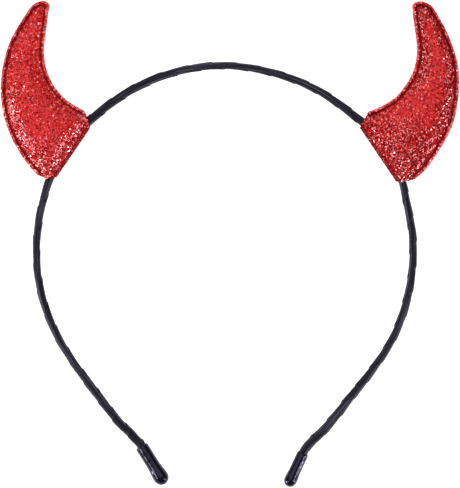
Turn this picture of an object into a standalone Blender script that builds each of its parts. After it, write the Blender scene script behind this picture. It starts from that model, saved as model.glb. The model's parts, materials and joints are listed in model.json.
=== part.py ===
"""Devil horns headband: a wire hoop wound with black ribbon, two stuffed horns of red glitter cloth
folded over it and sewn round their curved sides, and a rubber cap on each end of the hoop.

Metres, +Z up. The headband lies on its back: the hoop is in the XY plane, the crown towards +Y, and the
fronts of the horns face +Z. The origin is below the middle of the whole, on the surface it rests on.
"""

import bpy
import bmesh
import numpy as np
from math import cos, pi, radians, sin
from mathutils import Matrix, Vector

for old in list(bpy.data.objects):
    bpy.data.objects.remove(old, do_unlink=True)

MM = 0.001

# Driving sizes, in millimetres
GAP = 0.3
BAND_DIAMETER = 2.5
CLOTH_WALL = 0.8
RIM_WIDTH = 1.4
RIM_HEIGHT = 1.0
GROOVE_HEIGHT = 0.55
EDGE_HALF_THICKNESS = 0.35
FRONT_PUFF = 4.6
BACK_SHARE = 0.9
PUFF_SPREAD = 4.4
FOLD_RISE = 0.5
SEAM_HEIGHT = 3.2
SOCKET_DEPTH = 8.5
CAP_LIP = 0.6
HOOP_CENTRE = (-1.8, -2.3)

BAND_RADIUS = BAND_DIAMETER / 2
TUNNEL_RADIUS = BAND_RADIUS + GAP
FOLD_RADIUS = TUNNEL_RADIUS + CLOTH_WALL

# The hoop's middle line, as seen from the front: angle from +X about its centre, and radius
HOOP_ROWS = (
    # degrees, radius
    (-66, 77.0),
    (-63, 75.8),
    (-59, 74.1),
    (-50, 70.9),
    (-40, 69.6),
    (-25, 69.3),
    (-10, 69.0),
    (5, 69.0),
    (14, 69.1),
    (21, 69.8),
    (29, 70.2),
    (38, 69.7),
    (49, 68.3),
    (60, 67.8),
    (75, 67.4),
    (90, 67.7),
    (105, 67.9),
    (120, 68.1),
    (131, 68.4),
    (141, 69.1),
    (152, 69.5),
    (162, 69.2),
    (175, 69.1),
    (190, 69.2),
    (205, 69.0),
    (215, 69.0),
    (225, 69.9),
    (232, 71.6),
    (240, 74.6),
    (243, 75.6),
    (245, 76.7),
)

# Each end cap: middle of its mouth, direction towards its round end, length and two radii
CAP_ROWS = {
    # side: mouth x, mouth y, degrees, length, shaft radius, end radius
    "right": (26.8, -76.6, -114.9, 13.5, 2.15, 2.4),
    "left": (-32.4, -74.1, -58.5, 15.9, 2.4, 2.85),
}

# Each horn: the fold over the hoop, then sections from the fold to the tip, as their two ends
HORN_ROWS = {
    "left": (
        # outer x, outer y, inner x, inner y
        (-63.2, 24.6, -51.2, 42.2),
        (-70.2, 25.3, -53.4, 48.6),
        (-73.6, 28.8, -56.0, 50.3),
        (-77.9, 35.2, -59.7, 52.5),
        (-81.0, 41.4, -63.1, 56.0),
        (-83.1, 48.3, -65.4, 59.4),
        (-83.9, 55.6, -67.1, 63.4),
        (-83.6, 62.6, -68.1, 67.7),
        (-82.3, 69.1, -68.2, 72.2),
        (-80.1, 75.3, -67.7, 76.9),
        (-76.9, 81.0, -67.1, 81.5),
        (-73.9, 85.6, -66.6, 85.7),
    ),
    "right": (
        (60.6, 22.9, 47.5, 42.4),
        (67.7, 23.9, 50.9, 48.5),
        (71.3, 27.1, 54.3, 49.9),
        (75.0, 32.1, 57.9, 51.8),
        (78.3, 37.4, 61.3, 54.4),
        (81.1, 42.9, 64.3, 58.0),
        (82.9, 49.6, 66.5, 61.6),
        (83.8, 57.4, 68.0, 65.8),
        (83.5, 64.8, 68.6, 70.6),
        (82.0, 71.0, 68.3, 75.7),
        (79.8, 76.8, 67.7, 80.0),
        (77.2, 81.9, 67.2, 83.2),
        (75.0, 85.6, 67.1, 85.7),
    ),
}
TIPS = {"left": (-68.5, 89.1), "right": (69.7, 88.9)}

# The hoop runs straight for this far before each cap, and its mesh has a ring at each step
STRAIGHT_LEAD = 1.5
HOOP_STEP = 4.5

# Where the mesh of a horn has its lines: shares of the way from the fold to the first sewn section,
# sections between two rows, angles round the tip, and distances from a sewn edge
FOLD_STEPS = (0.0, 0.04, 0.12, 0.23, 0.36, 0.6, 1.0)
SIDE_STEPS = 2
TIP_ANGLES = (30, 52, 70, 82)
RIM_LINES = (0.0, 0.3, 0.75, 1.4, 2.1, 3.4)
MIDDLE_LINES = 4

# Rings round a cap's end, and sides round a cap
END_RINGS = 6
CAP_SIDES = 20

# Over this height the sewn shape and the folded one run into each other
BLEND = 1.0

# The hoop angles between which each horn hides it, a little more at both ends
TUNNELS = {"right": (15.0, 50.0), "left": (130.0, 163.0)}


def smooth(points, step):
    """Points at about the given spacing on a smooth curve through these."""
    points = [Vector(p) for p in points]
    spans = [(b - a).length for a, b in zip(points, points[1:])]
    slopes = []
    for i in range(len(points)):
        if i == 0:
            slopes.append((points[1] - points[0]) / spans[0])
        elif i == len(points) - 1:
            slopes.append((points[i] - points[i - 1]) / spans[-1])
        else:
            before = (points[i] - points[i - 1]) / spans[i - 1]
            after = (points[i + 1] - points[i]) / spans[i]
            slopes.append((before * spans[i] + after * spans[i - 1]) / (spans[i] + spans[i - 1]))
    curve = []
    for i, span in enumerate(spans):
        count = max(1, round(span / step))
        for k in range(count):
            t = k / count
            curve.append(
                points[i] * (2 * t**3 - 3 * t**2 + 1)
                + slopes[i] * span * (t**3 - 2 * t**2 + t)
                + points[i + 1] * (3 * t**2 - 2 * t**3)
                + slopes[i + 1] * span * (t**3 - t**2)
            )
    return curve + [points[-1]]


def cap_axis(side):
    """Middle of a cap's mouth and the direction towards its end, in space."""
    mouth_x, mouth_y, degrees, _, _, end_radius = CAP_ROWS[side]
    mouth = Vector((mouth_x, mouth_y, end_radius))
    return mouth, Vector((cos(radians(degrees)), sin(radians(degrees)), 0))


def hoop_point(degrees, radius):
    """A point of the hoop's middle line: level with the horns' seams, and lower towards the caps."""
    x = HOOP_CENTRE[0] + radius * cos(radians(degrees))
    y = HOOP_CENTRE[1] + radius * sin(radians(degrees))
    mouth, _ = cap_axis("right" if x > HOOP_CENTRE[0] else "left")
    share = min(1, max(0, (y - mouth.y) / -mouth.y))
    share = share * share * (3 - 2 * share)
    return Vector((x, y, mouth.z + (SEAM_HEIGHT - mouth.z) * share))


def hoop_route():
    """The hoop's middle line from inside the right cap round the crown to inside the left one."""
    right_mouth, right_way = cap_axis("right")
    left_mouth, left_way = cap_axis("left")
    inside = SOCKET_DEPTH - GAP
    points = [right_mouth, right_mouth - right_way * STRAIGHT_LEAD]
    points += [hoop_point(*row) for row in HOOP_ROWS]
    points += [left_mouth - left_way * STRAIGHT_LEAD, left_mouth]
    right_end = right_mouth + right_way * inside
    left_end = left_mouth + left_way * inside
    return [right_end] + smooth(points, HOOP_STEP) + [left_end]


def material(name, colour, roughness, metallic=0.0):
    made = bpy.data.materials.new(name)
    made.use_nodes = True
    shader = made.node_tree.nodes["Principled BSDF"]
    shader.inputs["Base Color"].default_value = (*colour, 1)
    shader.inputs["Roughness"].default_value = roughness
    shader.inputs["Metallic"].default_value = metallic
    return made


def finish(thing, its_material, sharp_degrees=40):
    """Gives an object its material and smooth shading with sharp corners."""
    thing.data.materials.append(its_material)
    if thing.type == "MESH":
        thing.data.shade_smooth()
        thing.data.set_sharp_from_angle(angle=radians(sharp_degrees))
    bpy.context.scene.collection.objects.link(thing)
    return thing


def solid(name, mesh):
    """An object of a closed bmesh, with its faces pointing out."""
    bmesh.ops.recalc_face_normals(mesh, faces=mesh.faces)
    data = bpy.data.meshes.new(name)
    mesh.to_mesh(data)
    mesh.free()
    return bpy.data.objects.new(name, data)


def tube(name, route, radius):
    """A round tube along a route, with flat ends."""
    curve = bpy.data.curves.new(name, "CURVE")
    curve.dimensions = "3D"
    curve.bevel_depth = radius * MM
    curve.bevel_resolution = 4
    curve.use_fill_caps = True
    curve.render_resolution_u = 0
    line = curve.splines.new("POLY")
    line.points.add(len(route) - 1)
    for point, place in zip(line.points, route):
        point.co = (*(place * MM), 1)
    return bpy.data.objects.new(name, curve)


# The hoop, wound with ribbon
def wound_hoop():
    ribbon = material("black_satin_ribbon", (0.012, 0.012, 0.018), 0.45)
    return finish(tube("wound_hoop", hoop_route(), BAND_RADIUS), ribbon)


# The horns
def horn_sections(side):
    """Sections of a horn as pairs of end points, from the fold over the hoop to just below the tip."""
    rows = HORN_ROWS[side]
    fold = Vector(rows[0][:2]), Vector(rows[0][2:])
    first = Vector(rows[1][:2]), Vector(rows[1][2:])
    sections = [tuple(a.lerp(b, t) for a, b in zip(fold, first)) for t in FOLD_STEPS[:-1]]
    for i in range(1, len(rows) - 1):
        for k in range(SIDE_STEPS):
            sections.append(tuple(along_edge(rows, i, k / SIDE_STEPS, end) for end in (0, 2)))
    outer, inner = Vector(rows[-1][:2]), Vector(rows[-1][2:])
    sections.append((outer, inner))
    middle = (outer + inner) / 2
    rise = Vector(TIPS[side]) - middle
    for degrees in TIP_ANGLES:
        turn = radians(degrees)
        top = middle + rise * sin(turn)
        sections.append(tuple(top + (end - middle) * cos(turn) for end in (outer, inner)))
    return sections


def along_edge(rows, i, t, end):
    """A point on a horn's sewn edge between rows i and i + 1; end is 0 outside and 2 inside."""
    before, here, there, after = (
        Vector(rows[min(max(k, 1), len(rows) - 1)][end:end + 2]) for k in (i - 1, i, i + 1, i + 2)
    )
    return 0.5 * (
        2 * here
        + (there - before) * t
        + (2 * before - 5 * here + 4 * there - after) * t**2
        + (3 * here - before - 3 * there + after) * t**3
    )


def distance_to(point, line):
    """Distance from a point to a line of points."""
    a, b = line[:-1], line[1:]
    way = b - a
    t = np.clip(((point - a) * way).sum(1) / (way * way).sum(1), 0, 1)
    return np.linalg.norm(a + way * t[:, None] - point, axis=1).min()


def half_thickness(point, outer_edge, inner_edge, fold):
    """How far the front bulges above the seam at this point: a rolled rim, a stitched groove inside it,
    and the stuffed middle; towards the base it comes down round the hoop."""
    to_outer = distance_to(point, outer_edge)
    to_inner = distance_to(point, inner_edge)
    to_edge = min(to_outer, to_inner)
    to_both = 2 * to_outer * to_inner / max(to_outer + to_inner, 1e-6)
    across_rim = (to_edge - RIM_WIDTH / 2) / (RIM_WIDTH / 2)
    rim = RIM_HEIGHT * max(0, 1 - across_rim**2) ** 0.5
    stuffed = 1 - np.exp(-max(0, to_both - RIM_WIDTH) / PUFF_SPREAD)
    sewn = max(rim, EDGE_HALF_THICKNESS)
    if to_edge > RIM_WIDTH / 2:
        sewn = max(rim, GROOVE_HEIGHT + (FRONT_PUFF - GROOVE_HEIGHT) * stuffed)
    (ax, ay), (bx, by) = fold
    along = np.array((bx - ax, by - ay))
    across = abs(along[0] * (point[1] - ay) - along[1] * (point[0] - ax)) / np.hypot(*along)
    if across < FOLD_RADIUS:
        folded = (FOLD_RADIUS**2 - (FOLD_RADIUS - across) ** 2) ** 0.5
    else:
        folded = FOLD_RADIUS + (across - FOLD_RADIUS) * FOLD_RISE
    near = max(0, BLEND - abs(sewn - folded)) / BLEND
    return max(min(sewn, folded) - BLEND * near**2 / 4, EDGE_HALF_THICKNESS)


def horn(side):
    """One padded horn, flattened where it lies, with the tunnel for the hoop under its fold."""
    sections = horn_sections(side)
    tip = Vector(TIPS[side])
    sewn = sections[len(FOLD_STEPS) - 1:]
    outer_edge = np.array([tuple(a) for a, _ in sewn] + [tuple(tip)])
    inner_edge = np.array([tuple(b) for _, b in sewn] + [tuple(tip)])
    fold = [tuple(end) for end in sections[0]]

    def front_and_back(place):
        bulge = half_thickness(np.array(place), outer_edge, inner_edge, fold)
        back = max(0, SEAM_HEIGHT - bulge * (BACK_SHARE if bulge > RIM_HEIGHT else 1))
        return (
            Vector((place[0], place[1], SEAM_HEIGHT + bulge)) * MM,
            Vector((place[0], place[1], back)) * MM,
        )

    mesh = bmesh.new()
    rows = []
    for outer, inner in sections:
        width = (inner - outer).length
        squeeze = min(1, 0.42 * width / RIM_LINES[-1])
        near = [d * squeeze / width for d in RIM_LINES]
        spacing = (1 - 2 * near[-1]) / (MIDDLE_LINES + 1)
        between = [near[-1] + spacing * (k + 1) for k in range(MIDDLE_LINES)]
        shares = near + between + [1 - t for t in reversed(near)]
        pairs = [front_and_back(outer.lerp(inner, t)) for t in shares]
        rows.append([(mesh.verts.new(front), mesh.verts.new(back)) for front, back in pairs])
    last = len(rows[0]) - 1
    for row, after in zip(rows, rows[1:]):
        for j in range(last):
            mesh.faces.new((row[j][0], row[j + 1][0], after[j + 1][0], after[j][0]))
            mesh.faces.new((row[j][1], after[j][1], after[j + 1][1], row[j + 1][1]))
        for j in (0, last):
            mesh.faces.new((row[j][0], row[j][1], after[j][1], after[j][0]))
    for j in range(last):
        mesh.faces.new((rows[0][j][0], rows[0][j][1], rows[0][j + 1][1], rows[0][j + 1][0]))
    front_tip, back_tip = (mesh.verts.new(place) for place in front_and_back(tip))
    for j in range(last):
        mesh.faces.new((rows[-1][j][0], rows[-1][j + 1][0], front_tip))
        mesh.faces.new((rows[-1][j][1], rows[-1][j + 1][1], back_tip))
    for j in (0, last):
        mesh.faces.new((rows[-1][j][0], rows[-1][j][1], back_tip, front_tip))
    cloth = material("red_glitter_cloth_" + side, (0.6, 0.03, 0.04), 0.4)
    made = finish(solid("horn_" + side, mesh), cloth)
    cut = made.modifiers.new("tunnel", "BOOLEAN")
    cut.operation = "DIFFERENCE"
    cut.solver = "EXACT"
    cut.object = tunnel(side)
    return made


def tunnel(side):
    """The space for the hoop under a horn's fold, as a cutter."""
    low, high = TUNNELS[side]
    middle = np.array(HOOP_CENTRE)
    stretch = []
    for place in hoop_route():
        x, y = np.array(place[:2]) - middle
        if low <= np.degrees(np.arctan2(y, x)) % 360 <= high:
            stretch.append(place)
    curve = tube("tunnel_curve_" + side, stretch, TUNNEL_RADIUS)
    bpy.context.scene.collection.objects.link(curve)
    graph = bpy.context.evaluated_depsgraph_get()
    data = bpy.data.meshes.new_from_object(curve.evaluated_get(graph))
    bpy.data.objects.remove(curve, do_unlink=True)
    cutter = bpy.data.objects.new("tunnel_" + side, data)
    cutter.hide_render = True
    cutter.display_type = "WIRE"
    bpy.context.scene.collection.objects.link(cutter)
    return cutter


# The end caps
def end_cap(side):
    """A turned rubber cap: a socket with a rounded lip, a straight shaft and a thicker round end."""
    mouth, way = cap_axis(side)
    _, _, _, length, shaft, end = CAP_ROWS[side]
    bore = TUNNEL_RADIUS
    end_height = end * 1.1
    profile = [
        # distance from the mouth, radius
        (SOCKET_DEPTH, 0),
        (SOCKET_DEPTH, bore),
        (CAP_LIP * 0.25, bore),
        (0, bore + CAP_LIP * 0.25),
        (0, shaft - CAP_LIP * 0.6),
        (CAP_LIP * 0.3, shaft - CAP_LIP * 0.15),
        (CAP_LIP, shaft),
        (length * 0.55, shaft),
        (length * 0.68, shaft + (end - shaft) * 0.35),
        (length - end_height, end),
    ]
    for turn in np.linspace(0, pi / 2, END_RINGS)[1:-1]:
        profile.append((length - end_height * (1 - sin(turn)), end * cos(turn)))
    profile.append((length, 0))
    mesh = bmesh.new()
    line = [mesh.verts.new(Vector((radius, 0, along)) * MM) for along, radius in profile]
    edges = [mesh.edges.new(pair) for pair in zip(line, line[1:])]
    bmesh.ops.spin(
        mesh, geom=line + edges, cent=(0, 0, 0), axis=(0, 0, 1), angle=2 * pi, steps=CAP_SIDES, use_merge=True
    )
    bmesh.ops.remove_doubles(mesh, verts=mesh.verts, dist=0.00001)
    rubber = material("black_rubber_" + side, (0.01, 0.01, 0.013), 0.2)
    cap = finish(solid("end_cap_" + side, mesh), rubber, sharp_degrees=60)
    down = Vector((0, 0, -1))
    turn = Matrix((down, way.cross(down), way)).transposed().to_4x4()
    cap.matrix_world = Matrix.Translation(mouth * MM) @ turn


wound_hoop()
for side in ("left", "right"):
    horn(side)
    end_cap(side)
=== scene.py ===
import json
import bmesh
import bpy
import numpy as np
from math import cos, pi, radians, sin
from mathutils import Matrix, Vector, noise

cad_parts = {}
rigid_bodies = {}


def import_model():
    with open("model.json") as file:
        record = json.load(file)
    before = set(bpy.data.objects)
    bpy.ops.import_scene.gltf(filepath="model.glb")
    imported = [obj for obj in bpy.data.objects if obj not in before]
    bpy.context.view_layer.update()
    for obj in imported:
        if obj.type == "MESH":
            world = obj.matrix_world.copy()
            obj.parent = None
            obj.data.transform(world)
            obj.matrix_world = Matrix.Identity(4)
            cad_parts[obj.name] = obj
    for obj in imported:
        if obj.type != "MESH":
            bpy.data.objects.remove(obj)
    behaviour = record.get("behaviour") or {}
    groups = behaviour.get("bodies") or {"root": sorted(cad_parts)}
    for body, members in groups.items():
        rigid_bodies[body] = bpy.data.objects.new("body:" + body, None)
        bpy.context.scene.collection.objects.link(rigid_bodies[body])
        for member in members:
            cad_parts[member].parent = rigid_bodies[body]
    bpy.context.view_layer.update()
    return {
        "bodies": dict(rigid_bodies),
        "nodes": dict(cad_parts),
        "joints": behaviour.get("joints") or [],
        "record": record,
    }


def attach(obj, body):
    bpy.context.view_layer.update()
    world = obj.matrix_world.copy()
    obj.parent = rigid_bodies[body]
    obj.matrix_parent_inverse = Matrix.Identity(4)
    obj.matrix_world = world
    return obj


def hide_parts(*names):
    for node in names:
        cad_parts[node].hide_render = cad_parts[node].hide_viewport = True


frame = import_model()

# The hoop. Spring wire wound from cap to cap with a narrow black satin ribbon, each turn lapping the one
# before by a few millimetres, so that its edge runs slantwise across the band and steps at its sides.
MM = 0.001
HOOP_CENTRE = (-1.8, -2.3)
SEAM_HEIGHT = 3.2
SOCKET_REACH = 8.2
STRAIGHT_LEAD = 1.5
HOOP_ROWS = (
    # degrees, radius
    (-66, 77.0),
    (-63, 75.8),
    (-59, 74.1),
    (-50, 70.9),
    (-40, 69.6),
    (-25, 69.3),
    (-10, 69.0),
    (5, 68.9),
    (14, 68.8),
    (21, 69.6),
    (29, 70.2),
    (38, 69.6),
    (48, 68.2),
    (60, 67.8),
    (75, 67.4),
    (90, 67.7),
    (105, 67.9),
    (120, 68.1),
    (131, 68.4),
    (141, 69.1),
    (152, 69.5),
    (162, 69.2),
    (175, 69.1),
    (190, 69.2),
    (205, 69.0),
    (215, 69.0),
    (225, 69.9),
    (232, 71.6),
    (240, 74.6),
    (243, 75.6),
    (245, 76.7),
)
CAP_ROWS = {
    # side: mouth x, mouth y, degrees, length, shaft radius, end radius
    "right": (26.8, -76.6, -114.9, 13.5, 2.15, 2.4),
    "left": (-32.5, -73.9, -58.0, 16.5, 2.4, 2.85),
}
# Where the ribbon's edge crosses the band's side: degrees round the hoop, and turns wound so far, from a
# quarter turn, which is the outer side, or three quarters, which is the inner one
LAP_ROWS = (
    (-61.6, 0.25),
    (-54.8, 1.25),
    (-48.8, 2.25),
    (-42.4, 3.25),
    (-35.0, 4.25),
    (-4.0, 8.3),
    (36.0, 13.6),
    (71.0, 18.15),
    (105.5, 22.75),
    (114.9, 23.75),
    (123.5, 24.75),
    (160.0, 29.4),
    (190.0, 32.9),
    (212.0, 35.75),
    (220.1, 36.75),
    (227.2, 37.75),
    (234.1, 38.75),
    (239.9, 39.75),
)
# How thick the winding is against its middle size: the ribbon's ends are wound double at the caps, and it
# bunches where the horns stop it
THICKNESS_ROWS = (
    # degrees, share
    (-66, 1.16),
    (-54, 1.18),
    (-44, 1.08),
    (-36, 1.01),
    (0, 1.0),
    (45, 1.04),
    (66, 1.03),
    (84, 0.95),
    (103, 1.0),
    (121, 1.06),
    (136, 1.17),
    (150, 1.1),
    (162, 1.02),
    (180, 0.98),
    (217, 0.99),
    (226, 1.1),
    (234, 1.05),
    (243, 1.15),
)
LAP_SHARE = 1.18
TAPE_THICKNESS = 0.11
LIP_RADIUS = 1.46
TUCKED_RADIUS = 1.2
CREASE_DEPTH = 0.12
FLUTTER_DEPTH = 0.03
TURN_STEPS = 28
WIDTH_STEPS = 9


def smooth(points, step):
    """Points at about the given spacing on a smooth curve through these."""
    points = [Vector(p) for p in points]
    spans = [(b - a).length for a, b in zip(points, points[1:])]
    slopes = []
    for i in range(len(points)):
        if i == 0:
            slopes.append((points[1] - points[0]) / spans[0])
        elif i == len(points) - 1:
            slopes.append((points[i] - points[i - 1]) / spans[-1])
        else:
            before = (points[i] - points[i - 1]) / spans[i - 1]
            after = (points[i + 1] - points[i]) / spans[i]
            slopes.append((before * spans[i] + after * spans[i - 1]) / (spans[i] + spans[i - 1]))
    curve = []
    for i, span in enumerate(spans):
        count = max(1, round(span / step))
        for k in range(count):
            t = k / count
            curve.append(
                points[i] * (2 * t**3 - 3 * t**2 + 1)
                + slopes[i] * span * (t**3 - 2 * t**2 + t)
                + points[i + 1] * (3 * t**2 - 2 * t**3)
                + slopes[i + 1] * span * (t**3 - t**2)
            )
    return curve + [points[-1]]


def cap_axis(side):
    """Middle of a cap's mouth and the direction towards its end."""
    mouth_x, mouth_y, degrees, _, _, end_radius = CAP_ROWS[side]
    mouth = Vector((mouth_x, mouth_y, end_radius))
    return mouth, Vector((cos(radians(degrees)), sin(radians(degrees)), 0))


def hoop_point(degrees, radius):
    """A point of the hoop's middle line: level with the horns' seams, and lower towards the caps."""
    x = HOOP_CENTRE[0] + radius * cos(radians(degrees))
    y = HOOP_CENTRE[1] + radius * sin(radians(degrees))
    mouth, _ = cap_axis("right" if x > HOOP_CENTRE[0] else "left")
    share = min(1, max(0, (y - mouth.y) / -mouth.y))
    share = share * share * (3 - 2 * share)
    return Vector((x, y, mouth.z + (SEAM_HEIGHT - mouth.z) * share))


def hoop_line():
    """The hoop's middle line, from inside the right cap to inside the left one."""
    right_mouth, right_way = cap_axis("right")
    left_mouth, left_way = cap_axis("left")
    points = [right_mouth, right_mouth - right_way * STRAIGHT_LEAD]
    points += [hoop_point(*row) for row in HOOP_ROWS]
    points += [left_mouth - left_way * STRAIGHT_LEAD, left_mouth]
    ends = [right_mouth + right_way * SOCKET_REACH * t for t in (1, 0.66, 0.33)]
    ends += [left_mouth + left_way * SOCKET_REACH * t for t in (0.33, 0.66, 1)]
    return np.array([tuple(p) for p in ends[:3] + smooth(points, 1.5) + ends[3:]])


def new_piece(name, points, faces, its_material, uv=None, uv_name="tape"):
    """A mesh object at the origin, from points in millimetres; uv is one pair for each point."""
    data = bpy.data.meshes.new(name)
    data.from_pydata((np.asarray(points) * MM).tolist(), [], faces)
    data.shade_smooth()
    if uv is not None:
        layer = data.uv_layers.new(name=uv_name)
        corners = np.zeros(len(data.loops), dtype=np.int32)
        data.loops.foreach_get("vertex_index", corners)
        layer.uv.foreach_set("vector", np.asarray(uv, dtype=np.float32)[corners].ravel())
    data.materials.append(its_material)
    made = bpy.data.objects.new(name, data)
    bpy.context.scene.collection.objects.link(made)
    return made


def apply_modifiers(piece):
    """Applies a piece's modifiers in their order."""
    bpy.ops.object.select_all(action="DESELECT")
    bpy.context.view_layer.objects.active = piece
    piece.select_set(True)
    for modifier in list(piece.modifiers):
        bpy.ops.object.modifier_apply(modifier=modifier.name)
    piece.select_set(False)


def sheets(rows, columns):
    """Quads between the points of a grid, numbered row by row."""
    made = []
    for i in range(rows - 1):
        for j in range(columns - 1):
            k = i * columns + j
            made.append((k, k + 1, k + columns + 1, k + columns))
    return made


def linear(code):
    """An sRGB hex colour as linear numbers."""
    parts = [int(code[i:i + 2], 16) / 255 for i in (1, 3, 5)]
    return tuple(c / 12.92 if c <= 0.04045 else ((c + 0.055) / 1.055) ** 2.4 for c in parts) + (1,)


def start_material(name, **values):
    """A new material and its shader, with these values on the shader's own sockets."""
    made = bpy.data.materials.new(name)
    made.use_nodes = True
    shader = made.node_tree.nodes["Principled BSDF"]
    for key, value in values.items():
        shader.inputs[key.replace("_", " ").title().replace("Ior", "IOR")].default_value = value
    return made, shader


def add_node(tree, kind, settings=None, **links):
    """Adds a node, sets its values, and links sockets or values to its inputs by name."""
    made = tree.nodes.new(kind)
    for key, value in (settings or {}).items():
        setattr(made, key, value)
    for key, value in links.items():
        socket = made.inputs[int(key[1:])] if key[1:].isdigit() else made.inputs[key.replace("_", " ")]
        if isinstance(value, bpy.types.NodeSocket):
            tree.links.new(value, socket)
        else:
            socket.default_value = value
    return made


def add_ramp(tree, factor, stops, smoothly=True):
    """A colour ramp through these stops, each a place and an sRGB hex colour."""
    made = add_node(tree, "ShaderNodeValToRGB", Fac=factor)
    ramp = made.color_ramp
    ramp.interpolation = "LINEAR" if smoothly else "CONSTANT"
    while len(ramp.elements) < len(stops):
        ramp.elements.new(0.5)
    for element, (place, code) in zip(ramp.elements, stops):
        element.position = place
        element.color = linear(code)
    return made.outputs["Color"]


# Polyester satin, woven with long warp floats: drawn tight round the wire it creases lengthwise, over a black
# that stays a little blue; the creases' violet-grey gleam, in long thin bands, is painted sheen in the colour
satin, shader = start_material(
    "satin_ribbon_polyester",
    roughness=0.42,
    specular_ior_level=0.24,
    specular_tint=linear("#dedaec"),
)
tree = satin.node_tree
lay = add_node(tree, "ShaderNodeAttribute", {"attribute_name": "lay"}).outputs["Vector"]
# painted sheen bands 0.5 mm wide and 20 mm long, which also raise the creases' bumps, and across them the
# weft's ribs, 0.7 mm apart, coarser than real ones
drawn = add_node(tree, "ShaderNodeMapping", Vector=lay, Scale=(0.05, 3.2, 3.2)).outputs["Vector"]
creases_and_painted_sheen = add_node(
    tree, "ShaderNodeTexNoise", Vector=drawn, Scale=1.0, Detail=3.0, Roughness=0.62
).outputs["Fac"]
tape = add_node(tree, "ShaderNodeUVMap", {"uv_map": "tape"}).outputs["UV"]
weft = add_node(
    tree, "ShaderNodeTexWave", {"bands_direction": "X", "wave_profile": "SIN"}, Vector=tape, Scale=0.45,
    Distortion=1.5, Detail=1.0,
).outputs["Fac"]
# the violet-grey of the colour ramp's upper stops is painted sheen
tree.links.new(
    add_ramp(tree, creases_and_painted_sheen, ((0.38, "#040307"), (0.48, "#0a0910"), (0.57, "#24222d"), (0.67, "#4c4958"))),
    shader.inputs["Base Color"],
)
rib = add_node(tree, "ShaderNodeMath", {"operation": "MULTIPLY_ADD"}, _0=weft, _1=0.15, _2=creases_and_painted_sheen).outputs[0]
raised = add_node(tree, "ShaderNodeBump", Strength=0.6, Distance=0.0001, Height=rib)
tree.links.new(raised.outputs["Normal"], shader.inputs["Normal"])

line = hoop_line()
run = np.concatenate(([0], np.cumsum(np.linalg.norm(np.diff(line, axis=0), axis=1))))
round_hoop = np.degrees(np.unwrap(np.arctan2(line[:, 1] - HOOP_CENTRE[1], line[:, 0] - HOOP_CENTRE[0])))
lap_run = [float(np.interp(degrees, round_hoop, run)) for degrees, _ in LAP_ROWS]
lap_turn = [turn for _, turn in LAP_ROWS]
pitch = 8.6
while lap_run[0] > 0:
    lap_run.insert(0, lap_run[0] - pitch)
    lap_turn.insert(0, lap_turn[0] - 1)
while lap_run[-1] < run[-1]:
    lap_run.append(lap_run[-1] + pitch)
    lap_turn.append(lap_turn[-1] + 1)
turns = np.arange(lap_turn[0], lap_turn[-1], 1 / TURN_STEPS)
starts = np.interp(turns, lap_turn, lap_run)
starts = np.convolve(np.pad(starts, 6, mode="reflect", reflect_type="odd"), np.ones(13) / 13, mode="valid")
ahead = np.interp(turns + 1, turns, starts, right=starts[-1] + pitch) - starts
across = np.linspace(0, 1, WIDTH_STEPS) ** 1.25
places = starts[:, None] + across[None, :] * ahead[:, None] * LAP_SHARE
inside_caps = np.clip(places, 0, run[-1])
centre = np.stack([np.interp(inside_caps, run, line[:, k]) for k in range(3)], axis=-1)
forward = np.stack([np.interp(inside_caps + 0.4, run, line[:, k]) for k in range(3)], axis=-1)
forward -= np.stack([np.interp(inside_caps - 0.4, run, line[:, k]) for k in range(3)], axis=-1)
forward /= np.linalg.norm(forward, axis=-1, keepdims=True)
outward = np.cross(forward, (0, 0, 1.0))
outward /= np.linalg.norm(outward, axis=-1, keepdims=True)
upward = np.cross(outward, forward)
angle = 2 * pi * turns
flutter = np.array([[noise.noise(Vector((t * 2.3, w * 3.0, 4.0))) for w in across] for t in turns])
creased = np.array([
    [noise.noise(Vector((at * 0.055, 1.5 * cos(a), 1.5 * sin(a)))) for at in row]
    for row, a in zip(places, angle)
])
radius = TUCKED_RADIUS + (LIP_RADIUS - TUCKED_RADIUS) * (1 - across[None, :]) ** 1.5
radius = radius + FLUTTER_DEPTH * flutter + CREASE_DEPTH * creased
radius = radius * np.interp(np.interp(places, run, round_hoop), *zip(*THICKNESS_ROWS))
tape_points = centre + radius[..., None] * (
    np.cos(angle)[:, None, None] * upward + np.sin(angle)[:, None, None] * outward
)
tape_points[..., 2] = np.maximum(tape_points[..., 2], 0.02)
girth = 2 * pi * (LIP_RADIUS + TUCKED_RADIUS) / 2
turn_length = np.hypot(ahead, girth)
along_tape = np.concatenate(([0], np.cumsum(turn_length[:-1] / TURN_STEPS)))
lying = across[None, :] * ahead[:, None] * LAP_SHARE
tape_uv = np.stack(
    (along_tape[:, None] + lying * (ahead / turn_length)[:, None], lying * (girth / turn_length)[:, None]),
    axis=-1,
)
ribbon = new_piece(
    "satin_ribbon_winding",
    tape_points.reshape(-1, 3),
    sheets(len(turns), WIDTH_STEPS),
    satin,
    uv=tape_uv.reshape(-1, 2),
)
round_wire = [np.broadcast_to(part[:, None], places.shape) for part in (np.cos(angle), np.sin(angle))]
lay_round = np.stack((places, *round_wire), axis=-1).astype(np.float32)
ribbon.data.attributes.new("lay", "FLOAT_VECTOR", "POINT").data.foreach_set("vector", lay_round.ravel())
thicken = ribbon.modifiers.new("tape_thickness", "SOLIDIFY")
thicken.thickness = TAPE_THICKNESS * MM
thicken.offset = -1
apply_modifiers(ribbon)
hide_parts("wound_hoop")
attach(ribbon, "root")

# The end caps. Each is a soft rubber tip, moulded over a pin, glossy from the mould, with a blunt rounded lip
# and a thicker round end, and pushed over the wound wire so that no wire end can scratch.
CAP_BORE = 1.7
CAP_SOCKET = 8.5
CAP_SIDES = 64

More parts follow.
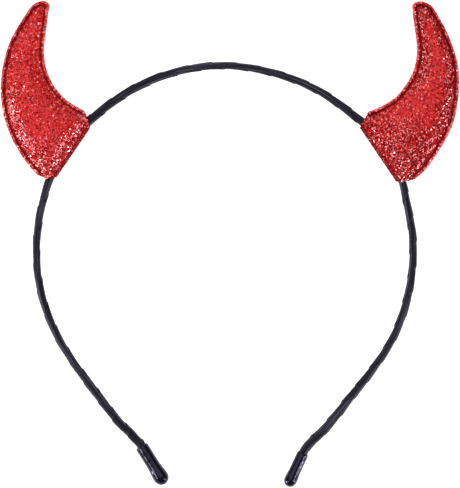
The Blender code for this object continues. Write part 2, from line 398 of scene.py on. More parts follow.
# Soft black rubber with the gloss of a polished mould: nearly black, sharp highlights that waver a little
# where the wall shrank, and faint dull patches from handling
rubber, shader = start_material(
    "moulded_black_rubber",
    base_color=linear("#0a0810"),
    specular_ior_level=0.4,
    specular_tint=linear("#d6ccf4"),
)
tree = rubber.node_tree
spot = add_node(tree, "ShaderNodeTexCoord").outputs["Object"]
# dull patches 3 mm across, and dents 2.4 mm across
handled = add_node(
    tree, "ShaderNodeTexNoise", Vector=spot, Scale=330.0, Detail=4.0, Roughness=0.6
).outputs["Fac"]
gloss = add_node(tree, "ShaderNodeMapRange", _0=handled, _1=0.35, _2=0.7, _3=0.07, _4=0.15)
tree.links.new(gloss.outputs["Result"], shader.inputs["Roughness"])
shrunk = add_node(
    tree, "ShaderNodeTexNoise", Vector=spot, Scale=420.0, Detail=2.0, Roughness=0.5
).outputs["Fac"]
waver = add_node(tree, "ShaderNodeBump", Strength=1.0, Distance=0.0002, Height=shrunk)
tree.links.new(waver.outputs["Normal"], shader.inputs["Normal"])


def pick_end(level):
    """In edit mode, selects only the flat face at this height, in millimetres."""
    shape = bmesh.from_edit_mesh(bpy.context.edit_object.data)
    for face in shape.faces:
        face.select_set(abs(face.calc_center_median().z / MM - level) < 0.001 and abs(face.normal.z) > 0.99)
    bmesh.update_edit_mesh(bpy.context.edit_object.data)


def pull_rings(rings, level, radius):
    """Draws the selected round face on through these rings, each a height and a radius in millimetres."""
    for next_level, next_radius in rings:
        bpy.ops.mesh.extrude_region_move(TRANSFORM_OT_translate={"value": (0, 0, (next_level - level) * MM)})
        share = next_radius / radius
        bpy.ops.transform.resize(value=(share, share, 1), center_override=(0, 0, next_level * MM))
        level, radius = next_level, next_radius


for side in ("left", "right"):
    mouth, way = cap_axis(side)
    _, _, _, length, shaft, end = CAP_ROWS[side]
    lip = 0.7
    bpy.ops.object.select_all(action="DESELECT")
    bpy.ops.mesh.primitive_cylinder_add(
        vertices=CAP_SIDES, radius=shaft * MM, depth=(length * 0.5 - lip) * MM,
        location=(0, 0, (length * 0.5 + lip) / 2 * MM),
    )
    cap = bpy.context.object
    cap.name = "rubber_cap_" + side
    bpy.ops.object.transform_apply(location=True, rotation=True, scale=True)
    bpy.ops.object.mode_set(mode="EDIT")
    bpy.ops.mesh.select_mode(type="FACE")
    pick_end(length * 0.5)
    swell = [(t, shaft + (end - shaft) * (3 * s**2 - 2 * s**3)) for t, s in zip(
        np.linspace(length * 0.5, length - end * 1.1, 10)[1:], np.linspace(0, 1, 10)[1:])]
    nose = [(length - end * 1.1 * (1 - sin(a)), end * cos(a)) for a in np.linspace(0, pi / 2, 18)[1:-1]]
    pull_rings(swell + nose + [(length, end * 0.02)], length * 0.5, shaft)
    pick_end(lip)
    rounding = [(lip - 0.62 * sin(a), shaft - 0.42 * (1 - cos(a))) for a in np.linspace(0, pi / 2, 8)[1:]]
    entry = [(0.02, CAP_BORE + 0.26), (0.05, CAP_BORE + 0.14), (0.14, CAP_BORE + 0.05), (0.3, CAP_BORE)]
    pull_rings(rounding + entry + [(2.5, CAP_BORE), (CAP_SOCKET, CAP_BORE)], lip, shaft)
    bpy.ops.object.mode_set(mode="OBJECT")
    down = Vector((0, 0, -1))
    turn = Matrix((down, way.cross(down), way)).transposed().to_4x4()
    cap.matrix_world = Matrix.Translation(mouth * MM) @ turn
    bpy.ops.object.transform_apply(location=True, rotation=True, scale=True)
    cap.data.shade_smooth()
    cap.data.materials.append(rubber)
    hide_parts("end_cap_" + side)
    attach(cap, "root")

# The horns. Each is one piece of red glitter cloth folded over the hoop at its straight base, sewn together
# round its curved sides a little inside the edge, so that the edge stands as a roll, and stuffed; it lies on
# its back, which is flattened there, and both ends of the fold are open round the band.
RIM_WIDTH = 1.15
RIM_HEIGHT = 0.95
GROOVE_INSET = 1.35
GROOVE_WIDTH = 0.4
GROOVE_HEIGHT = 0.12
SHOULDER_HEIGHT = 0.7
SHOULDER_SPREAD = 0.45
FRONT_PUFF = 5.1
BACK_SHARE = 0.9
PUFF_SPREAD = 6.5
FOLD_RADIUS = 2.35
FOLD_RISE = 0.5
BLEND = 1.0
CLOTH_THICKNESS = 0.4
HORN_ROWS = {
    "left": (
        # outer x, outer y, inner x, inner y
        (-63.5, 24.8, -51.5, 42.4),
        (-70.2, 25.3, -53.4, 48.6),
        (-73.6, 28.8, -56.0, 50.3),
        (-77.9, 35.2, -59.7, 52.5),
        (-81.0, 41.4, -63.1, 56.0),
        (-83.1, 48.3, -65.4, 59.4),
        (-83.9, 55.6, -67.1, 63.4),
        (-83.6, 62.6, -68.1, 67.7),
        (-82.3, 69.1, -68.2, 72.2),
        (-80.1, 75.3, -67.7, 76.9),
        (-76.9, 81.0, -67.1, 81.5),
        (-73.9, 85.6, -66.6, 85.7),
    ),
    "right": (
        (60.9, 23.1, 47.8, 42.6),
        (67.7, 23.9, 50.9, 48.5),
        (71.3, 27.1, 54.3, 49.9),
        (75.0, 32.1, 57.9, 51.8),
        (78.3, 37.4, 61.3, 54.4),
        (81.1, 42.9, 64.3, 58.0),
        (82.9, 49.6, 66.5, 61.6),
        (83.8, 57.4, 68.0, 65.8),
        (83.5, 64.8, 68.6, 70.6),
        (82.0, 71.0, 68.3, 75.7),
        (79.8, 76.8, 67.7, 80.0),
        (77.2, 81.9, 67.2, 83.2),
        (75.0, 85.6, 67.1, 85.7),
    ),
}
TIPS = {"left": (-68.5, 89.1), "right": (69.7, 88.9)}
# How far the cloth's free edges bow out round the band, at the outer and at the inner mouth
MOUTH_BOWS = {"left": (0.95, 0.3), "right": (0.35, 0.1)}
FOLD_STEPS = 16
SIDE_STEPS = 11
TIP_ANGLES = (7, 14, 21, 28, 35, 42, 49, 56, 62, 68, 74, 79, 84)
EDGE_LINES = (
    0, 0.05, 0.14, 0.26, 0.4, 0.55, 0.7, 0.85, 1.0, 1.12,
    1.22, 1.3, 1.38, 1.48, 1.62, 1.8, 2.05, 2.4, 2.85, 3.4,
)
MIDDLE_LINES = 26
STUFF_SCALE = 20
STUFF_FRAMES = 20
SWELL_LIMIT = 0.5
HELD_TO = 2.5
REST_LEVEL = 0.04
STITCH_PITCH = 2.3
# how wide the painted shade spreads either side of the groove, and how far from the fold the painted shade
# reaches
GROOVE_SHADE_SPREAD = 0.5
FOLD_SHADE_REACH = 1.6


def along_edge(rows, i, t, end):
    """A point on a horn's sewn edge between rows i and i + 1; end is 0 outside and 2 inside."""
    before, here, there, after = (
        np.array(rows[min(max(k, 1), len(rows) - 1)][end:end + 2]) for k in (i - 1, i, i + 1, i + 2)
    )
    return 0.5 * (
        2 * here
        + (there - before) * t
        + (2 * before - 5 * here + 4 * there - after) * t**2
        + (3 * here - before - 3 * there + after) * t**3
    )


def horn_sections(side):
    """Sections of a horn as pairs of end points, from the fold over the hoop to just below the tip."""
    rows = HORN_ROWS[side]
    fold = np.array(rows[0][:2]), np.array(rows[0][2:])
    first = np.array(rows[1][:2]), np.array(rows[1][2:])
    sections = []
    out_of_mouth = (fold[0] - fold[1]) / np.linalg.norm(fold[0] - fold[1])
    for k in range(FOLD_STEPS):
        t = (k / FOLD_STEPS) ** 2
        lifted = [bow * t * (1 - t) ** 2 / 0.148 for bow in MOUTH_BOWS[side]]
        outer, inner = (a + (b - a) * t for a, b in zip(fold, first))
        sections.append((outer + out_of_mouth * lifted[0], inner - out_of_mouth * lifted[1]))
    for i in range(1, len(rows) - 1):
        for k in range(SIDE_STEPS):
            sections.append(tuple(along_edge(rows, i, k / SIDE_STEPS, end) for end in (0, 2)))
    outer, inner = np.array(rows[-1][:2]), np.array(rows[-1][2:])
    sections.append((outer, inner))
    middle = (outer + inner) / 2
    rise = np.array(TIPS[side]) - middle
    for degrees in TIP_ANGLES:
        turn = radians(degrees)
        top = middle + rise * sin(turn)
        sections.append(tuple(top + (end - middle) * cos(turn) for end in (outer, inner)))
    return sections


def to_line(points, line):
    """For each point, its distance to a line of points and how far along the line that is."""
    start, way = line[:-1], line[1:] - line[:-1]
    long = np.linalg.norm(way, axis=1)
    run = np.concatenate(([0], np.cumsum(long)))[:-1]
    share = np.clip(((points[:, None] - start) * way).sum(-1) / long**2, 0, 1)
    apart = np.linalg.norm(start + way * share[..., None] - points[:, None], axis=-1)
    best = apart.argmin(1)
    here = np.arange(len(points))
    return apart[here, best], run[best] + share[here, best] * long[best]


def horn_edges(side, sections):
    """The horn's two sewn edges as lines from the mouths to the tip."""
    tip = np.array(TIPS[side])
    sewn = sections[FOLD_STEPS:]
    return np.array([a for a, _ in sewn] + [tip]), np.array([b for _, b in sewn] + [tip])


def from_fold(points, fold):
    """Distance of each point from the fold over the hoop, seen from the front."""
    (ax, ay), (bx, by) = fold
    doubled = (bx - ax) * (points[:, 1] - ay) - (by - ay) * (points[:, 0] - ax)
    return np.abs(doubled) / np.hypot(bx - ax, by - ay)


def from_edge(points, edges):
    """Distance of each point from the nearer sewn edge, seen from the front."""
    return np.minimum(to_line(points, edges[0])[0], to_line(points, edges[1])[0])


def bulge(points, edges, fold, seed):
    """How far the front rises above the seam at each point: the rolled edge, the groove that the stitches
    pull, small puckers between them, the stuffing with its slight lumps, and the fold round the hoop."""
    to_outer, run_outer = to_line(points, edges[0])
    to_inner, run_inner = to_line(points, edges[1])
    to_edge = np.minimum(to_outer, to_inner)
    to_both = 2 * to_outer * to_inner / np.maximum(to_outer + to_inner, 1e-6)
    along = np.where(to_outer < to_inner, run_outer, run_inner + 40)
    across_rim = np.clip((to_edge - RIM_WIDTH / 2) / (RIM_WIDTH / 2), -1, 1)
    pucker = np.sin(2 * pi * along / STITCH_PITCH)
    wander = np.array([noise.noise(Vector((a * 0.35, seed, 0))) for a in along])
    rim = RIM_HEIGHT * (1 + 0.07 * pucker + 0.16 * wander) * np.sqrt(1 - across_rim**2)
    lumps = np.array([
        noise.noise(Vector((x * 0.16, y * 0.16, seed)))
        + 0.45 * noise.noise(Vector((x * 0.42, y * 0.42, seed)))
        for x, y in points
    ])
    stuffed = 1 - np.exp(-np.maximum(0, to_both - RIM_WIDTH) / PUFF_SPREAD)
    inside = np.maximum(0, to_edge - RIM_WIDTH - GROOVE_WIDTH)
    middle = GROOVE_HEIGHT + SHOULDER_HEIGHT * (1 - np.exp(-inside / SHOULDER_SPREAD))
    middle += (FRONT_PUFF - GROOVE_HEIGHT - SHOULDER_HEIGHT) * stuffed * (1 + 0.09 * lumps)
    middle += 0.1 * (pucker + 1.2 * wander) * np.exp(-inside / 1.3) * np.minimum(1, inside / 0.25)
    sewn = np.where(to_edge > RIM_WIDTH / 2, np.maximum(rim, middle), rim)
    sewn = np.where(to_edge > RIM_WIDTH + GROOVE_WIDTH, np.maximum(sewn, GROOVE_HEIGHT), sewn)
    across = from_fold(points, fold)
    folded = np.where(
        across < FOLD_RADIUS,
        np.sqrt(np.maximum(0, FOLD_RADIUS**2 - (FOLD_RADIUS - across) ** 2)),
        FOLD_RADIUS + (across - FOLD_RADIUS) * FOLD_RISE,
    ) * (1 + 0.05 * lumps)
    near = np.maximum(0, BLEND - np.abs(sewn - folded)) / BLEND
    lower = np.minimum(sewn, folded) - BLEND * near**2 / 4 * (to_edge > 0.05)
    return np.where(across < 1e-6, 0, np.maximum(0, lower))


def front_and_back(places, edges, fold, seed):
    """Points of the front and of the back above and below these places; the back is flat where it rests."""
    front = bulge(places, edges, fold, seed)
    back = bulge(places, edges, fold, seed + 7)
    share = 1 - (1 - BACK_SHARE) * np.clip((back - RIM_HEIGHT) / 0.6, 0, 1)
    low = SEAM_HEIGHT - back * share
    low = np.where(low > 1.0, low, 0.5 * (low + np.sqrt(low**2 + 0.03)))
    return (
        np.column_stack((places, SEAM_HEIGHT + front)),
        np.column_stack((places, low)),
    )


def horn_grid(side, seed):
    """Points of a horn's front and back, row by row from the fold to the tip."""
    sections = horn_sections(side)
    edges = horn_edges(side, sections)
    fold = sections[0]
    places = []
    for outer, inner in sections:
        width = np.linalg.norm(inner - outer)
        squeeze = min(1, 0.42 * width / EDGE_LINES[-1])
        near = np.array(EDGE_LINES) * squeeze / width
        between = np.linspace(near[-1], 1 - near[-1], MIDDLE_LINES + 2)[1:-1]
        shares = np.concatenate((near, between, 1 - near[::-1]))
        places.append(outer + (inner - outer) * shares[:, None])
    places = np.array(places)
    rows, columns = places.shape[:2]
    front, back = front_and_back(places.reshape(-1, 2), edges, fold, seed)
    return front.reshape(rows, columns, 3), back.reshape(rows, columns, 3), edges, fold


def horn_mesh(front, back, tip, first_sewn=FOLD_STEPS):
    """Points and faces of a closed cover, front and back joined along the sewn edges, the fold and the tip,
    and the number that each point has in the two grids."""
    rows, columns = front.shape[:2]
    count = rows * columns
    upper = np.arange(count).reshape(rows, columns)
    lower = upper + count
    lower[0] = upper[0]
    lower[first_sewn:, 0] = upper[first_sewn:, 0]
    lower[first_sewn:, -1] = upper[first_sewn:, -1]
    a, b, c, d = upper[:-1, :-1], upper[:-1, 1:], upper[1:, 1:], upper[1:, :-1]
    faces = np.stack((a, b, c, d), axis=-1).reshape(-1, 4)
    a, b, c, d = lower[:-1, :-1], lower[1:, :-1], lower[1:, 1:], lower[:-1, 1:]
    faces = np.concatenate((faces, np.stack((a, b, c, d), axis=-1).reshape(-1, 4)))
    points = np.concatenate((front.reshape(-1, 3), back.reshape(-1, 3), [(*tip, SEAM_HEIGHT)]))
    ends = [(int(upper[-1, j]), int(upper[-1, j + 1]), 2 * count) for j in range(columns - 1)]
    ends += [(int(lower[-1, j + 1]), int(lower[-1, j]), 2 * count) for j in range(columns - 1)]
    used, at = np.unique(np.concatenate((faces.ravel(), [2 * count])), return_inverse=True)
    place = dict(zip(used.tolist(), range(len(used))))
    faces = at[:-1].reshape(-1, 4).tolist() + [tuple(place[k] for k in end) for end in ends]
    return points[used], faces, used


def stuff(front, back, edges, fold, tip):
    """Lets the stuffing swell the cover, in a cloth simulation of a coarser grid that is held along its
    seams, and gives back the two grids with the swelling. It runs on a copy twenty times as large, because
    the forces that the solver works with vanish on so small a piece."""
    last_row, last_column = front.shape[0] - 1, front.shape[1] - 1
    rows = [*range(0, FOLD_STEPS, 4), *range(FOLD_STEPS, last_row, 2), last_row]
    near = [0, 3, 6, 8, 10, 12, 14, 15, 16, 17, 18, 19, *range(21, front.shape[1] // 2, 2)]
    columns = near + [last_column - k for k in reversed(near)]
    grid = np.ix_(rows, columns)
    points, faces, used = horn_mesh(front[grid], back[grid], tip, first_sewn=rows.index(FOLD_STEPS))
    cover = new_piece("cover_under_pressure", points * STUFF_SCALE, faces, cloth)
    held = np.clip((HELD_TO - from_edge(points[:, :2], edges)) / 0.6, 0, 1)
    held = np.maximum(held, np.clip((HELD_TO + 1 - from_fold(points[:, :2], fold)) / 0.8, 0, 1))
    seam = cover.vertex_groups.new(name="seam")
    for k, share in enumerate(held.tolist()):
        seam.add([k], share, "REPLACE")
    swelling = cover.modifiers.new("stuffing", "CLOTH")
    swelling.collision_settings.use_collision = False
    swelling.point_cache.frame_start = 1
    swelling.point_cache.frame_end = STUFF_FRAMES
    for key, value in {
        "quality": 6,
        "mass": 0.15,
        "tension_stiffness": 12,
        "compression_stiffness": 12,
        "shear_stiffness": 4,
        "bending_stiffness": 0.3,
        "shrink_min": -0.05,
        "use_pressure": True,
        "uniform_pressure_force": 4,
        "vertex_group_mass": "seam",
    }.items():
        setattr(swelling.settings, key, value)
    swelling.settings.effector_weights.gravity = 0
    for frame in range(1, STUFF_FRAMES + 1):
        bpy.context.scene.frame_set(frame)
    evaluated = cover.evaluated_get(bpy.context.evaluated_depsgraph_get()).data
    swollen = np.array([tuple(v.co) for v in evaluated.vertices]) / MM / STUFF_SCALE
    bpy.context.scene.frame_set(1)
    bpy.data.objects.remove(cover)
    moved = swollen - points
    long = np.linalg.norm(moved, axis=1, keepdims=True)
    moved *= SWELL_LIMIT * np.tanh(long / SWELL_LIMIT) / np.maximum(long, 1e-9)
    shift = np.zeros((2 * len(rows) * len(columns) + 1, 3))
    shift[used] = moved
    grown = []
    every_row, every_column = range(last_row + 1), range(last_column + 1)
    for layer, start in ((front, 0), (back, len(rows) * len(columns))):
        coarse = shift[start:start + len(rows) * len(columns)].reshape(len(rows), len(columns), 3)
        wide = np.array([
            [np.interp(every_column, columns, line[:, k]) for k in range(3)] for line in coarse
        ])
        tall = [[np.interp(every_row, rows, wide[:, k, j]) for k in range(3)] for j in every_column]
        grown.append(layer + np.array(tall).transpose(2, 0, 1))
    grown[1][..., 2] = np.maximum(grown[1][..., 2], REST_LEVEL)
    return grown


# Knitted polyester with a resin coat that holds the glitter: between the larger flakes lies a fine one,
# grains of 0.3 mm each at its own slant; the pink grains' colour is a painted spark and the deep wine-red
# grains' a painted dark speck, which break the red
cloth, shader = start_material(
    "red_glitter_cloth_resin", metallic=0.1, roughness=0.45, specular_ior_level=0.2
)
tree = cloth.node_tree
spot = add_node(tree, "ShaderNodeTexCoord").outputs["Object"]
grains = add_node(tree, "ShaderNodeTexVoronoi", Vector=spot, Scale=3300.0)
kind = add_node(tree, "ShaderNodeSeparateColor", Color=grains.outputs["Color"])
# the grains' colours run from painted dark specks at the bottom to painted pink sparks at the top
grain_colour = add_ramp(
    tree,
    kind.outputs["Red"],
    ((0.0, "#5e0409"), (0.24, "#920c11"), (0.48, "#bc1a1c"), (0.78, "#d22a28"), (0.94, "#ea5c58")),
    smoothly=False,
)
# where the stitches pull the groove and where the cloth folds over the hoop, the red darkens to a dark knit
# red: painted shade
groove_and_fold_shade = add_node(tree, "ShaderNodeAttribute", {"attribute_name": "groove_and_fold_shade"}).outputs["Fac"]
coated = add_node(
    tree, "ShaderNodeMix", {"data_type": "RGBA"}, _0=groove_and_fold_shade, _6=grain_colour, _7=linear("#6c080e")
)
tree.links.new(coated.outputs[2], shader.inputs["Base Color"])
slant = add_node(
    tree, "ShaderNodeVectorMath", {"operation": "MULTIPLY_ADD"}, _0=grains.outputs["Color"],
    _1=(0.9, 0.9, 0.9), _2=(-0.45, -0.45, -0.45),
)
facing = add_node(tree, "ShaderNodeNewGeometry").outputs["Normal"]
tilted = add_node(tree, "ShaderNodeVectorMath", {"operation": "ADD"}, _0=facing, _1=slant.outputs["Vector"])
evened = add_node(tree, "ShaderNodeVectorMath", {"operation": "NORMALIZE"}, _0=tilted.outputs["Vector"])
tree.links.new(evened.outputs["Vector"], shader.inputs["Normal"])

# The cloth's uncoated back, seen only in the open ends of the fold: dull dark red knit, its ribs 0.5 mm apart
backing, shader = start_material("red_knit_backing", roughness=0.9, sheen_weight=0.3)
tree = backing.node_tree
spot = add_node(tree, "ShaderNodeTexCoord").outputs["Object"]
ribs = add_node(
    tree, "ShaderNodeTexWave", {"bands_direction": "DIAGONAL"}, Vector=spot, Scale=700.0, Distortion=1.0
)
tree.links.new(
    add_ramp(tree, ribs.outputs["Fac"], ((0.2, "#4a0a0e"), (0.8, "#7d1519"))), shader.inputs["Base Color"]
)
knit = add_node(tree, "ShaderNodeBump", Strength=0.4, Distance=0.0001, Height=ribs.outputs["Fac"])
tree.links.new(knit.outputs["Normal"], shader.inputs["Normal"])

horns = {}
for side, seed in (("left", 3.1), ("right", 11.7)):
    front, back, edges, fold = horn_grid(side, seed)
    front, back = stuff(front, back, edges, fold, TIPS[side])
    points, faces, _ = horn_mesh(front, back, TIPS[side])
    horn = new_piece("glitter_horn_" + side, points, faces, cloth)
    horn.data.materials.append(backing)
    shape = bmesh.new()
    shape.from_mesh(horn.data)
    bmesh.ops.recalc_face_normals(shape, faces=shape.faces)
    shape.to_mesh(horn.data)
    shape.free()
    outer_quads = np.array([
        tuple(p.vertices) if len(p.vertices) == 4 else (*p.vertices, p.vertices[-1])
        for p in horn.data.polygons
    ])
    outer_points = np.array([tuple(v.co) for v in horn.data.vertices]) / MM
    outer_normals = np.array([tuple(v.normal) for v in horn.data.vertices])
    horns[side] = outer_points, outer_quads, outer_normals, edges, fold, seed
    # painted shade in the groove and along the fold, carried to the cloth's colour as an attribute
    groove_and_fold_shade = np.exp(-((from_edge(outer_points[:, :2], edges) - GROOVE_INSET) / GROOVE_SHADE_SPREAD) ** 2)
    groove_and_fold_shade = np.maximum(groove_and_fold_shade, np.clip(FOLD_SHADE_REACH - from_fold(outer_points[:, :2], fold), 0, 1))
    groove_and_fold_shade = groove_and_fold_shade.astype(np.float32)
    horn.data.attributes.new("groove_and_fold_shade", "FLOAT", "POINT").data.foreach_set("value", groove_and_fold_shade)
    thicken = horn.modifiers.new("cloth_thickness", "SOLIDIFY")
    thicken.thickness = CLOTH_THICKNESS * MM
    thicken.offset = -1
    thicken.material_offset = 1
    thicken.material_offset_rim = 1
    apply_modifiers(horn)
    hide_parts("horn_" + side)
    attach(horn, "root")

# The glitter. Hexagons punched from metallised polyester film, lacquered red, scattered over the wet resin:
# each lies at its own slant, so that some catch the light, most show red and some look away into the dark;
# besides the slant, the pale flakes' pink colour is a painted glint and the wine flakes' dark colour a
# painted shade.
FLAKE_COUNT = 30000
FLAKE_SPACING = 0.3
FLAKE_RADII = (0.25, 0.38)
FLAKE_SLANT = 0.11
STANDING_SLANT = 0.2
STRAY_SLANT = 0.34
STRAY_SHARE = 0.02
# The cloth's tilt, in degrees, from which its stretched coat begins to let the flakes stand up, and where all
# do. The cloth is slack along the inner curve, from the base up to the first height, lies smooth above the
# second, and is stretched over the lower mouth, up to the third.
STANDING_TILT = (7, 18)
SLACK_BELOW = {"left": 95, "right": 62}
SMOOTH_ABOVE = {"left": 62, "right": 120}
STRETCHED_BELOW = {"left": 40, "right": 48}
# How far reach the bare groove, where flakes are thinned so that the cloth's painted shade shows, the
# groove's dark flakes of painted shade, the rim's flakes of painted highlight and the fold's dark flakes of
# painted shade
THINNED_GROOVE_REACH = 0.4
THINNED_GROOVE_SHARE = 0.6
GROOVE_REACH = 0.6
RIM_REACH = 0.9
FOLD_REACH = 1.25
FLAKE_COLOURS = (
    # name, colour, metallic, roughness, lacquer over it
    # pale is a painted glint colour, wine a painted shade colour
    ("pale", "#fb888a", 0.9, 0.3, 0.85),
    ("bright", "#e82e2e", 0.5, 0.4, 0.8),
    ("red", "#d41a1a", 0.3, 0.45, 0.5),
    ("deep", "#aa0c10", 0.3, 0.5, 0.3),
    ("wine", "#6c050b", 0.2, 0.5, 0.1),
)
FLAKE_SHARES = {
    # where: pale, bright, red, deep, wine
    "cloth": (0.03, 0.27, 0.44, 0.16, 0.1),
    # the standing flakes hold more pale ones, painted glints, and more wine ones, painted shade; the right
    # horn's are darker, more painted shade
    "turned down left": (0.28, 0.14, 0.16, 0.2, 0.22),
    "turned down right": (0.23, 0.05, 0.08, 0.29, 0.35),
    # the rim's extra pale and bright flakes are a painted highlight on the rolled edge
    "rim": (0.3, 0.3, 0.28, 0.08, 0.04),
    # the dark flakes of the groove and of the fold are painted shade; the left horn's inner groove gets less
    # of it
    "groove": (0.0, 0.0, 0.05, 0.35, 0.6),
    "inner groove, lighter painted shade": (0.05, 0.13, 0.36, 0.3, 0.16),
    "fold": (0.0, 0.0, 0.04, 0.36, 0.6),
}
film = []
for name, code, metallic, roughness, lacquer in FLAKE_COLOURS:
    made, _ = start_material(
        "lacquered_film_" + name,
        base_color=linear(code),
        metallic=metallic,
        roughness=roughness,
        specular_ior_level=0.0,
        coat_weight=lacquer,
        coat_roughness=0.08,
    )
    film.append(made)

for side, (points, quads, normals, edges, fold, seed) in horns.items():
    chance = np.random.default_rng(int(seed * 10))
    corner = points[quads]
    area = np.linalg.norm(np.cross(corner[:, 2] - corner[:, 0], corner[:, 3] - corner[:, 1]), axis=1)
    tried = FLAKE_COUNT * 2
    face = chance.choice(len(quads), size=tried, p=area / area.sum())
    u, v = chance.random((2, tried, 1))
    weights = np.stack(((1 - u) * (1 - v), u * (1 - v), u * v, (1 - u) * v), axis=1)
    place = (corner[face] * weights).sum(1)
    facing = (normals[quads[face]] * weights).sum(1)
    facing /= np.linalg.norm(facing, axis=1, keepdims=True)
    cells = {}
    kept = []
    for k, (x, y, z) in enumerate(place):
        cell = int(x // FLAKE_SPACING), int(y // FLAKE_SPACING), int(z // FLAKE_SPACING)
        if cell not in cells:
            cells[cell] = k
            kept.append(k)
    kept = np.array(kept)
    # flakes are thinned out along the groove, so that the cloth's painted shade shows between them
    inset = from_edge(place[kept, :2], edges)
    thinned_for_shade = (np.abs(inset - GROOVE_INSET) < THINNED_GROOVE_REACH) & (chance.random(len(kept)) < THINNED_GROOVE_SHARE)
    kept = kept[~thinned_for_shade][:FLAKE_COUNT]
    place, facing = place[kept], facing[kept]
    tilt = np.degrees(np.arccos(np.clip(facing[:, 2:], 0, 1)))
    low_tilt, high_tilt = STANDING_TILT
    stretch = np.clip((tilt[:, 0] - low_tilt) / (high_tilt - low_tilt), 0, 1)
    stretch *= np.clip((SMOOTH_ABOVE[side] - place[:, 1]) / 10, 0.12, 1)
    to_outer, to_inner = (to_line(place[:, :2], edge)[0] for edge in edges)
    slack = np.clip((SLACK_BELOW[side] - place[:, 1]) / 8, 0, 0.85) * np.clip((to_outer - to_inner) / 4, 0, 1)
    slack *= np.clip((from_fold(place[:, :2], fold) - 4) / 3, 0, 1)
    stretch = np.maximum(stretch * (1 - slack), np.clip((STRETCHED_BELOW[side] - place[:, 1]) / 14, 0, 0.7))
    standing = chance.random((len(kept), 1)) < stretch[:, None]
    loose = np.where(standing, STANDING_SLANT, FLAKE_SLANT)
    loose = np.where(chance.random((len(kept), 1)) < STRAY_SHARE, STRAY_SLANT, loose)
    slant = chance.normal(0, 1, (len(kept), 3)) * loose
    slant -= (slant * facing).sum(1, keepdims=True) * facing
    length = np.linalg.norm(slant, axis=1, keepdims=True)
    slant *= np.minimum(1, 0.65 / np.maximum(length, 1e-6))
    leaning = facing + slant
    leaning /= np.linalg.norm(leaning, axis=1, keepdims=True)
    first = np.cross(leaning, chance.normal(0, 1, leaning.shape))
    first /= np.linalg.norm(first, axis=1, keepdims=True)
    second = np.cross(leaning, first)
    radius = chance.uniform(*FLAKE_RADII, (len(kept), 1))
    middle = place + facing * (0.04 + 0.3 * radius * np.minimum(length, 0.65))
    ring = [middle + radius * (cos(a) * first + sin(a) * second) for a in np.arange(6) * pi / 3]
    flake_points = np.stack(ring, axis=1).reshape(-1, 3)
    flake_points[:, 2] = np.maximum(flake_points[:, 2], 0.01)
    flake_faces = np.arange(len(flake_points)).reshape(-1, 6).tolist()
    glitter = new_piece("glitter_flakes_" + side, flake_points, flake_faces, film[0])
    for made in film[1:]:
        glitter.data.materials.append(made)
    glitter.data.shade_flat()
    inset = np.minimum(to_outer, to_inner)
    # the flakes' colours are dealt out by these zones: pale ones as painted glints, dark ones as painted
    # shade in the groove and along the fold
    shares = np.where(standing, FLAKE_SHARES["turned down " + side], FLAKE_SHARES["cloth"])
    shares[inset < RIM_REACH] = FLAKE_SHARES["rim"]
    shares[np.abs(inset - GROOVE_INSET) < GROOVE_REACH] = FLAKE_SHARES["groove"]
    if side == "left":
        shares[np.abs(to_inner - GROOVE_INSET) < GROOVE_REACH] = FLAKE_SHARES["inner groove, lighter painted shade"]
    shares[from_fold(place[:, :2], fold) < FOLD_REACH] = FLAKE_SHARES["fold"]
    kind = (chance.random((len(kept), 1)) > np.cumsum(shares, axis=1)[:, :-1]).sum(1).astype(np.int32)
    glitter.data.polygons.foreach_set("material_index", kind)
    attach(glitter, "root")

# The stitches. One row of dark red polyester thread down each curved side and round the tip, through both
# layers of cloth: each stitch dips into the cloth at both ends, and pulls the groove.
STITCH_INSET = 1.35
STITCH_GAP = 0.5
STITCH_RISE = 0.17
STITCH_DIP = 0.42
THREAD_RADIUS = 0.14
# the thread's plies show as slanting bands 0.1 mm apart
thread, shader = start_material("polyester_sewing_thread", roughness=0.6, specular_ior_level=0.2)
tree = thread.node_tree
lay = add_node(tree, "ShaderNodeUVMap", {"uv_map": "tape"}).outputs["UV"]
twist = add_node(
    tree, "ShaderNodeTexWave", {"bands_direction": "DIAGONAL"}, Vector=lay, Scale=6.0, Distortion=0.4
)
tree.links.new(
    add_ramp(tree, twist.outputs["Fac"], ((0.15, "#840a12"), (0.7, "#ac121a"))), shader.inputs["Base Color"]
)
plies = add_node(tree, "ShaderNodeBump", Strength=0.5, Distance=0.00005, Height=twist.outputs["Fac"])
tree.links.new(plies.outputs["Normal"], shader.inputs["Normal"])

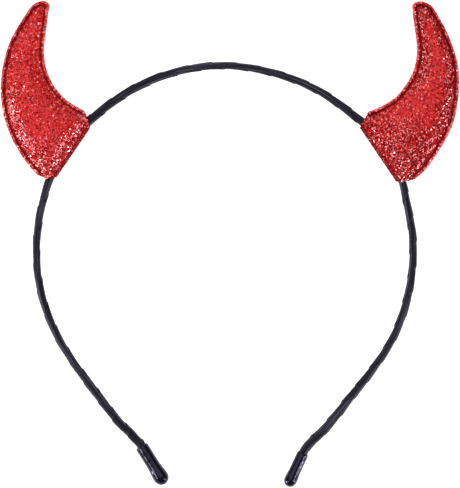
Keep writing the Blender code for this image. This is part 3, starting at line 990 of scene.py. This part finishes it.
for side, (_, _, _, edges, fold, seed) in horns.items():
    outline = np.concatenate((edges[0], edges[1][-2::-1]))
    lengths = np.concatenate(([0], np.cumsum(np.linalg.norm(np.diff(outline, axis=0), axis=1))))
    evenly = np.arange(0, lengths[-1], 0.1)
    rim_line = np.stack([np.interp(evenly, lengths, outline[:, k]) for k in (0, 1)], axis=1)
    way = np.gradient(rim_line, axis=0)
    way /= np.linalg.norm(way, axis=1, keepdims=True)
    inward = np.stack((way[:, 1], -way[:, 0]), axis=1) * (1 if side == "left" else -1)
    seam = rim_line + inward * STITCH_INSET
    apart, _ = to_line(seam, outline)
    seam = seam[apart > STITCH_INSET - 0.03]
    upper, lower = front_and_back(seam, edges, fold, seed)
    stitch_points, stitch_faces, stitch_uv = [], [], []
    for path, up in ((upper, 1), (lower, -1)):
        walked = np.concatenate(([0], np.cumsum(np.linalg.norm(np.diff(path, axis=0), axis=1))))
        for start in np.arange(0.5, walked[-1] - STITCH_PITCH, STITCH_PITCH):
            steps = np.linspace(0, 1, 9)
            at = start + steps * (STITCH_PITCH - STITCH_GAP)
            bead = np.stack([np.interp(at, walked, path[:, k]) for k in range(3)], axis=1)
            bead[:, 2] += up * (STITCH_RISE - STITCH_DIP * (2 * steps - 1) ** 4)
            along = np.gradient(bead, axis=0)
            along /= np.linalg.norm(along, axis=1, keepdims=True)
            sideways = np.cross(along, (0, 0, 1.0))
            sideways /= np.linalg.norm(sideways, axis=1, keepdims=True)
            above = np.cross(sideways, along)
            thick = THREAD_RADIUS * np.sqrt(np.maximum(0.02, 1 - (2 * steps - 1) ** 6))
            base = len(stitch_points)
            for k in range(9):
                for a in np.arange(8) * pi / 4:
                    stitch_points.append(bead[k] + thick[k] * (cos(a) * sideways[k] + sin(a) * above[k]))
                    stitch_uv.append((at[k], a * THREAD_RADIUS))
            for k in range(8):
                ring = base + k * 8
                for j in range(8):
                    n = (j + 1) % 8
                    stitch_faces.append((ring + j, ring + n, ring + 8 + n, ring + 8 + j))
            stitch_faces.append(tuple(base + j for j in reversed(range(8))))
            stitch_faces.append(tuple(base + 64 + j for j in range(8)))
    stitches = new_piece("topstitches_" + side, stitch_points, stitch_faces, thread, uv=stitch_uv)
    shape = bmesh.new()
    shape.from_mesh(stitches.data)
    bmesh.ops.recalc_face_normals(shape, faces=shape.faces)
    shape.to_mesh(stitches.data)
    shape.free()
    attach(stitches, "root")

# The floor, a table of opal acrylic lit from below so that nothing on it throws a dark shadow, and soft
# boxes: one low on each side, which the tilted flakes mirror, and a wide one over the crown, with a bare bulb
# near the table on each side for the points of light on the rubber
FLOOR_GLOW = 0.65
card, shader = start_material(
    "lit_opal_acrylic", roughness=0.75, emission_color=linear("#ffffff"), emission_strength=FLOOR_GLOW
)
tree = card.node_tree
spot = add_node(tree, "ShaderNodeTexCoord").outputs["Object"]
# the opal sheet is faintly cloudy, in clouds 17 mm across
clouds = add_node(tree, "ShaderNodeTexNoise", Vector=spot, Scale=60.0, Detail=5.0).outputs["Fac"]
tree.links.new(add_ramp(tree, clouds, ((0.3, "#f1f1f1"), (0.7, "#f8f8f8"))), shader.inputs["Base Color"])
bpy.ops.object.select_all(action="DESELECT")
bpy.ops.mesh.primitive_plane_add(size=6, location=(0, 0, 0))
floor = bpy.context.object
floor.name = "floor"
floor.data.materials.append(card)

LIGHTS = (
    # name, place, size, watts, colour
    ("soft_box_left", (-0.92, -0.48, 0.72), 0.4, 5.8, "#ffffff"),
    ("soft_box_right", (0.92, -0.5, 0.7), 0.4, 5.2, "#ffffff"),
    ("soft_box_overhead", (-0.3, 0.8, 1.35), 2.4, 21.0, "#ffffff"),
    ("bulb_left", (-0.8, -0.35, 0.16), 0.12, 2.6, "#ffffff"),
    ("bulb_right", (0.75, -0.5, 0.15), 0.12, 2.6, "#ffffff"),
)
for name, place, size, watts, code in LIGHTS:
    lamp = bpy.data.lights.new(name, "AREA")
    lamp.shape = "SQUARE"
    lamp.size = size
    lamp.energy = watts
    lamp.color = linear(code)[:3]
    holder = bpy.data.objects.new(name, lamp)
    holder.location = place
    holder.rotation_mode = "QUATERNION"
    holder.rotation_quaternion = (-Vector(place)).to_track_quat("-Z", "Y")
    bpy.context.scene.collection.objects.link(holder)
world = bpy.data.worlds.new("tent")
world.use_nodes = True
world.node_tree.nodes["Background"].inputs["Color"].default_value = linear("#f6f7fa")
world.node_tree.nodes["Background"].inputs["Strength"].default_value = 0.2
bpy.context.scene.world = world
bpy.context.scene.view_settings.view_transform = "Standard"

# The photograph is taken square to the headband as it lies: camera straight above, in a white light tent
camera_data = bpy.data.cameras.new("camera")
camera = bpy.data.objects.new("camera", camera_data)
bpy.context.scene.collection.objects.link(camera)
camera.location = (0, 0.00007, 1.203)
camera_data.sensor_width = 36
camera_data.lens = 36 * 1.2 / 0.17885
camera_data.clip_start = 0.05
camera_data.clip_end = 20
bpy.context.scene.camera = camera
